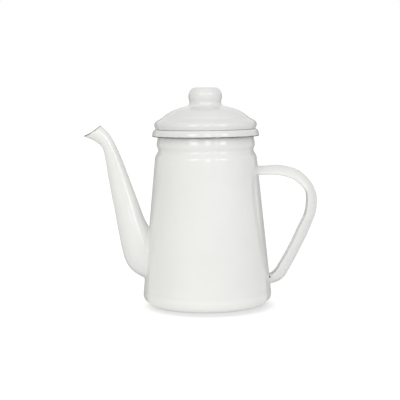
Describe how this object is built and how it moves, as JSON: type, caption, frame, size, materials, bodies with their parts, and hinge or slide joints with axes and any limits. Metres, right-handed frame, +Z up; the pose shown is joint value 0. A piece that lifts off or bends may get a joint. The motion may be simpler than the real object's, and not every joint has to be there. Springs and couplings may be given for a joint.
{
  "type": "enamel coffee pot",
  "caption": "Tapered enamelled steel coffee pot with a slender curved spout, an open strap handle and a domed lift-off lid with a hollow knob.",
  "frame": {"origin": "on the table, under the centre of the whole pot's box; the body's own axis stands 5.2 mm along +X from it", "axes": "+Z up, +X towards the handle, -X towards the spout, +Y to the far side"},
  "size_m": [0.2322, 0.1284, 0.2162],
  "materials": {
    "white_enamel": "gloss"
  },
  "bodies": {
    "pot": {"pot_body": "white_enamel", "base_pan": "white_enamel", "spout_near_half": "white_enamel", "spout_far_half": "white_enamel", "handle_strap": "white_enamel"},
    "lid": {"lid_dome": "white_enamel", "lid_collar": "white_enamel", "lid_knob": "white_enamel"}
  },
  "joints": [
    {"name": "lid_lift", "type": "slide", "parent": "pot", "child": "lid", "axis": [0, 0, 1], "range_m": [0, 0.08]}
  ]
}
